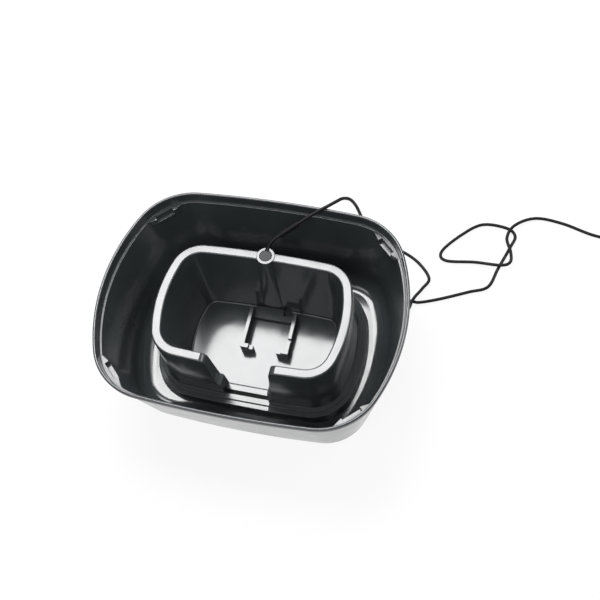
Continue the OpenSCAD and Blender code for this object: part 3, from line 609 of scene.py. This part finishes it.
def spline(route, lead_in, lead_out):
    """Smooth curve through the points, kept on the floor."""
    points = [Vector(p) for p in route]
    ends = [points[0] - lead_in, *points, points[-1] + lead_out]
    curve = []
    for a, b, c, d in zip(ends, ends[1:], ends[2:], ends[3:]):
        for k in range(LEAD_STEPS):
            t = k / LEAD_STEPS
            p = 0.5 * (2 * b + (c - a) * t + (2 * a - 5 * b + 4 * c - d) * t ** 2
                       + (3 * b - a - 3 * c + d) * t ** 3)
            p.z = max(p.z, LEAD_R + FLOOR_GAP)
            curve.append(p)
    return curve + [points[-1]]


def coil_point(n, centre, low_z):
    """Point of the coil after n turns: in on the lower layer, up, out on the upper one, then clear of it."""
    up, out = COIL_TURNS + HALF_TURN, 2 * COIL_TURNS + HALF_TURN
    inner = COIL_R - COIL_PITCH * COIL_TURNS
    if n < COIL_TURNS:
        r, z = COIL_R - COIL_PITCH * n, low_z
    elif n < up:
        t = (n - COIL_TURNS) / HALF_TURN
        r, z = inner - CLIMB_IN * math.sin(math.pi * t), low_z + COIL_PITCH * ease(t)
    elif n < out:
        r, z = inner + COIL_PITCH * (n - up), low_z + COIL_PITCH
    else:
        t = (n - out) / FLARE_TURNS
        r = COIL_R + COIL_PITCH * (n - out) + FLARE_OUT * t * t
        z = low_z + COIL_PITCH - FLARE_DROP * ease(t)
    angle = math.tau * n
    return Vector((centre.x + r * math.sin(angle), centre.y + r * math.cos(angle), z))


def lead_path():
    """The whole lead from the bung to the plug."""
    boot_way = (BOOT_END - Vector(TAIL_ROUTE[-1])).normalized()
    boot_start = BOOT_END - BOOT_L * boot_way
    run = [Vector(p) for p in RUN_ROUTE]
    tail_route = TAIL_ROUTE[:-1] + [tuple(boot_start)]
    tail = spline(tail_route, Vector((0, BUNG_PULL, 0)), BOOT_IN_PULL * boot_way)
    span = spline(SPAN_ROUTE, BOOT_OUT_PULL * boot_way, run[1] - run[0])
    rest = spline(RUN_ROUTE, run[0] - Vector(SPAN_ROUTE[2]), Vector((COIL_PULL, 0, 0)))
    start = run[-1]
    centre = Vector((start.x + 2 * LEAD_R, start.y - COIL_R, 0))
    turns = 2 * COIL_TURNS + HALF_TURN + FLARE_TURNS
    count = round(turns * COIL_STEPS)
    coil = [coil_point(turns * i / count, centre, start.z) for i in range(count + 1)]
    last = coil[-1] - coil_point(turns - TINY_TURN, centre, start.z)
    last.z = 0
    plug = coil[-1] + 2 * LEAD_R * last.normalized()
    boot = [boot_start + boot_way * BOOT_L * t / BOOT_STEPS for t in range(1, BOOT_STEPS)]
    return tail + boot + span[:-1] + rest[:-1] + [start] + coil + [plug]


def tube(path, radius, sides):
    """Tube along a path, carried along without twist."""
    rows = []
    normal = TUBE_UP
    for i, p in enumerate(path):
        way = (path[min(i + 1, len(path) - 1)] - path[max(i - 1, 0)]).normalized()
        normal = (normal - normal.dot(way) * way).normalized()
        side = way.cross(normal)
        rows.append([
            p + radius * (math.cos(a) * normal + math.sin(a) * side)
            for a in (math.tau * k / sides for k in range(sides))
        ])
    return skin(rows)


# Materials: sizes in millimetres, and spreads as shares of a tone or a roughness

CLOUD_SIZE, SMUDGE_SIZE = 45.0, 18.0
CLOUD_DETAIL, SMUDGE_DETAIL, WAVE_DETAIL, GRAIN_DETAIL = 5, 4, 1, 2
TONE_SPREAD, GLOSS_SPREAD = 0.12, 0.2
NOISE_RANGE = (0.3, 0.7)


def plain(name, colour, roughness, ior):
    """Material of one colour and one gloss."""
    material = bpy.data.materials.new(name)
    material.use_nodes = True
    shader = material.node_tree.nodes["Principled BSDF"]
    shader.inputs["Base Color"].default_value = (*colour, 1)
    shader.inputs["Roughness"].default_value = roughness
    shader.inputs["IOR"].default_value = ior
    return material


def noise(tree, size, detail):
    """Noise over the object, with features of a size in millimetres."""
    place = tree.nodes.new("ShaderNodeTexCoord")
    pattern = tree.nodes.new("ShaderNodeTexNoise")
    pattern.inputs["Scale"].default_value = 1 / (size * MM)
    pattern.inputs["Detail"].default_value = detail
    tree.links.new(place.outputs["Object"], pattern.inputs["Vector"])
    return pattern.outputs[0]


def spread(tree, value, low, high):
    """Stretches the middle of a noise to a range."""
    stretch = tree.nodes.new("ShaderNodeMapRange")
    stretch.inputs["From Min"].default_value = NOISE_RANGE[0]
    stretch.inputs["From Max"].default_value = NOISE_RANGE[1]
    stretch.inputs["To Min"].default_value = low
    stretch.inputs["To Max"].default_value = high
    tree.links.new(value, stretch.inputs["Value"])
    return stretch.outputs[0]


def bump(tree, value, height, under=None):
    """Relief of a height in millimetres, over another relief if there is one."""
    relief = tree.nodes.new("ShaderNodeBump")
    relief.inputs["Distance"].default_value = height * MM
    tree.links.new(value, relief.inputs["Height"])
    if under:
        tree.links.new(under, relief.inputs["Normal"])
    return relief.outputs[0]


def moulded(name, colour, roughness, ior, wave, grain, metallic=0.0):
    """Surface of clouded tone and gloss, with a slight wave and a fine grain, each a (size, height)."""
    material = plain(name, colour, roughness, ior)
    tree = material.node_tree
    shader = tree.nodes["Principled BSDF"]
    shader.inputs["Metallic"].default_value = metallic
    tone = tree.nodes.new("ShaderNodeValToRGB")
    shares = (1 - TONE_SPREAD, 1 + TONE_SPREAD)
    for stop, share, position in zip(tone.color_ramp.elements, shares, NOISE_RANGE):
        stop.position = position
        stop.color = (*[c * share for c in colour], 1)
    tree.links.new(noise(tree, CLOUD_SIZE, CLOUD_DETAIL), tone.inputs[0])
    tree.links.new(tone.outputs[0], shader.inputs["Base Color"])
    smudges = noise(tree, SMUDGE_SIZE, SMUDGE_DETAIL)
    gloss = spread(tree, smudges, roughness * (1 - GLOSS_SPREAD), roughness * (1 + GLOSS_SPREAD))
    tree.links.new(gloss, shader.inputs["Roughness"])
    waves = bump(tree, noise(tree, wave[0], WAVE_DETAIL), wave[1])
    grains = bump(tree, noise(tree, grain[0], GRAIN_DETAIL), grain[1], waves)
    tree.links.new(grains, shader.inputs["Normal"])
    return material


def wear(obj, material):
    """Gives an object one material."""
    obj.data.materials.clear()
    obj.data.materials.append(material)


MOULDING = (0.04, 0.046, 0.049)
RUBBER = (0.03, 0.032, 0.034)
LEAD_COVER = (0.004, 0.004, 0.005)
PLATING = (0.75, 0.75, 0.74)

gloss_black = moulded(
    "gloss_black", MOULDING, roughness=0.15, ior=1.62, wave=(14, 0.02), grain=(0.7, 0.0006))
satin_black = moulded(
    "satin_black", MOULDING, roughness=0.15, ior=1.62, wave=(12, 0.02), grain=(0.5, 0.0015))
rubber_black = moulded(
    "rubber_black", RUBBER, roughness=0.45, ior=1.35, wave=(5, 0.01), grain=(0.4, 0.01))
lead_black = moulded(
    "lead_black", LEAD_COVER, roughness=0.5, ior=1.3, wave=(6, 0.02), grain=(0.4, 0.006))
plated = moulded(
    "plated", PLATING, roughness=0.16, ior=1.5, wave=(3, 0.002), grain=(0.2, 0.0008), metallic=1.0)

# Pieces of the object

basin = make_basin()
basin.name = "basin_visual"
wear(basin, gloss_black)
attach(basin, "base")
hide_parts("basin")

ring = make_ring()
ring.name = "bay_ring_visual"
wear(ring, satin_black)
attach(ring, "base")
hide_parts("bay_ring")

path = lead_path()
lead = mesh_object("lead_visual", *tube(path, LEAD_R, LEAD_SIDES))
wear(lead, lead_black)
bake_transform(lead)
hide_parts("lead_tail", "lead_span", "lead_run", "lead_coil")

wear(nodes["pump_cradle"], gloss_black)
for name in ("foot_front_left", "foot_front_right", "foot_back_left", "foot_back_right", "duct_bung"):
    wear(nodes[name], rubber_black)
for name in ("lead_boot", "coil_tie", "plug_grip"):
    wear(nodes[name], lead_black)
wear(nodes["plug_barrel"], plated)

CRADLE_WELD, CRADLE_ROUND, CRADLE_SHARP = 0.001, 0.5, math.radians(40)

weld = nodes["pump_cradle"].modifiers.new("weld", "WELD")
weld.merge_threshold = CRADLE_WELD * MM
bevel_edges(nodes["pump_cradle"], CRADLE_ROUND, CRADLE_SHARP)

# Camera: fitted to the outlines of the photograph

CAMERA_TARGET = Vector((48.3, 10.5, 111)) * MM
CAMERA_AZIMUTH, CAMERA_ELEVATION, CAMERA_ROLL = (math.radians(a) for a in (23.9, 63.5, -12.5))
CAMERA_DISTANCE = 0.7876
CAMERA_LENS, CAMERA_SENSOR, CAMERA_NEAR = 48.65, 36.0, 0.01


def make_camera():
    """Camera at a distance from its target, turned by an azimuth, an elevation and a roll."""
    back = Vector((
        math.sin(CAMERA_AZIMUTH) * math.cos(CAMERA_ELEVATION),
        -math.cos(CAMERA_AZIMUTH) * math.cos(CAMERA_ELEVATION),
        math.sin(CAMERA_ELEVATION),
    ))
    level = Vector((math.cos(CAMERA_AZIMUTH), math.sin(CAMERA_AZIMUTH), 0))
    upright = back.cross(level)
    right = math.cos(CAMERA_ROLL) * level + math.sin(CAMERA_ROLL) * upright
    up = math.cos(CAMERA_ROLL) * upright - math.sin(CAMERA_ROLL) * level
    place = CAMERA_TARGET + CAMERA_DISTANCE * back
    lens = bpy.data.cameras.new("camera")
    lens.lens = CAMERA_LENS
    lens.sensor_width = CAMERA_SENSOR
    lens.clip_start = CAMERA_NEAR
    camera = bpy.data.objects.new("camera", lens)
    bpy.context.scene.collection.objects.link(camera)
    camera.matrix_world = Matrix((
        (right.x, up.x, back.x, place.x),
        (right.y, up.y, back.y, place.y),
        (right.z, up.z, back.z, place.z),
        (0, 0, 0, 1),
    ))
    bpy.context.scene.camera = camera


make_camera()

# Floor, lights and surroundings

FLOOR_SIZE, FLOOR_GREY, FLOOR_ROUGHNESS, FLOOR_IOR = 40.0, 0.86, 0.9, 1.3
WHITE, WHITE_SHARE = 1.0, 0.88
WORLD_LEVEL = 0.25
AIM = Vector((0, 0, 0.06))


def white_to_the_eye(tree, shader_out, white_share):
    """Mixes in plain white for rays from the camera and for reflections, and leaves some of the shadow."""
    path_node = tree.nodes.new("ShaderNodeLightPath")
    seen = path_node.outputs["Is Camera Ray"]
    for kind in ("Is Glossy Ray", "Is Transmission Ray"):
        either = tree.nodes.new("ShaderNodeMath")
        either.operation = "MAXIMUM"
        tree.links.new(seen, either.inputs[0])
        tree.links.new(path_node.outputs[kind], either.inputs[1])
        seen = either.outputs[0]
    share = tree.nodes.new("ShaderNodeMath")
    share.operation = "MULTIPLY"
    share.inputs[1].default_value = white_share
    tree.links.new(seen, share.inputs[0])
    glow = tree.nodes.new("ShaderNodeEmission")
    glow.inputs["Strength"].default_value = WHITE
    mix = tree.nodes.new("ShaderNodeMixShader")
    tree.links.new(share.outputs[0], mix.inputs[0])
    tree.links.new(shader_out, mix.inputs[1])
    tree.links.new(glow.outputs[0], mix.inputs[2])
    return mix.outputs[0]


def make_floor():
    """Plain pale floor under the object."""
    half = FLOOR_SIZE / 2 / MM
    corners = [(-half, -half, 0), (half, -half, 0), (half, half, 0), (-half, half, 0)]
    floor = mesh_object("floor", corners, [(0, 1, 2, 3)])
    material = plain("floor_white", (FLOOR_GREY,) * 3, FLOOR_ROUGHNESS, FLOOR_IOR)
    tree = material.node_tree
    shader = tree.nodes["Principled BSDF"]
    output = tree.nodes["Material Output"]
    tree.links.new(white_to_the_eye(tree, shader.outputs[0], WHITE_SHARE), output.inputs["Surface"])
    wear(floor, material)


def softbox(name, place, target, width, depth, radiance):
    """Rectangular lamp of an even radiance, turned to a target."""
    lamp = bpy.data.lights.new(name, "AREA")
    lamp.shape = "RECTANGLE"
    lamp.size, lamp.size_y = width, depth
    lamp.energy = radiance * math.pi * width * depth
    obj = bpy.data.objects.new(name, lamp)
    bpy.context.scene.collection.objects.link(obj)
    obj.location = place
    obj.rotation_euler = (place - target).to_track_quat("Z", "Y").to_euler()


def make_world(level):
    """Even white surroundings."""
    world = bpy.data.worlds.new("surroundings")
    world.use_nodes = True
    bpy.context.scene.world = world
    background = world.node_tree.nodes["Background"]
    background.inputs["Color"].default_value = (1, 1, 1, 1)
    background.inputs["Strength"].default_value = level


make_floor()
make_world(WORLD_LEVEL)
above, under = Vector((-0.315, 0.45, 1.2)), Vector((-0.315, 0.45, 0))
softbox("overhead", above, under, width=0.71, depth=0.5, radiance=14.0)
softbox("front_fill", Vector((-0.1, -0.78, 1.15)), AIM, width=1.2, depth=0.6, radiance=3.2)
softbox("side_fill", Vector((0.9, 0.45, 0.9)), AIM, width=0.6, depth=0.6, radiance=3.5)
softbox("back_fill", Vector((-0.1, 1.25, 1.0)), AIM, width=0.9, depth=0.3, radiance=10.0)

bpy.context.scene.view_settings.view_transform = "Standard"
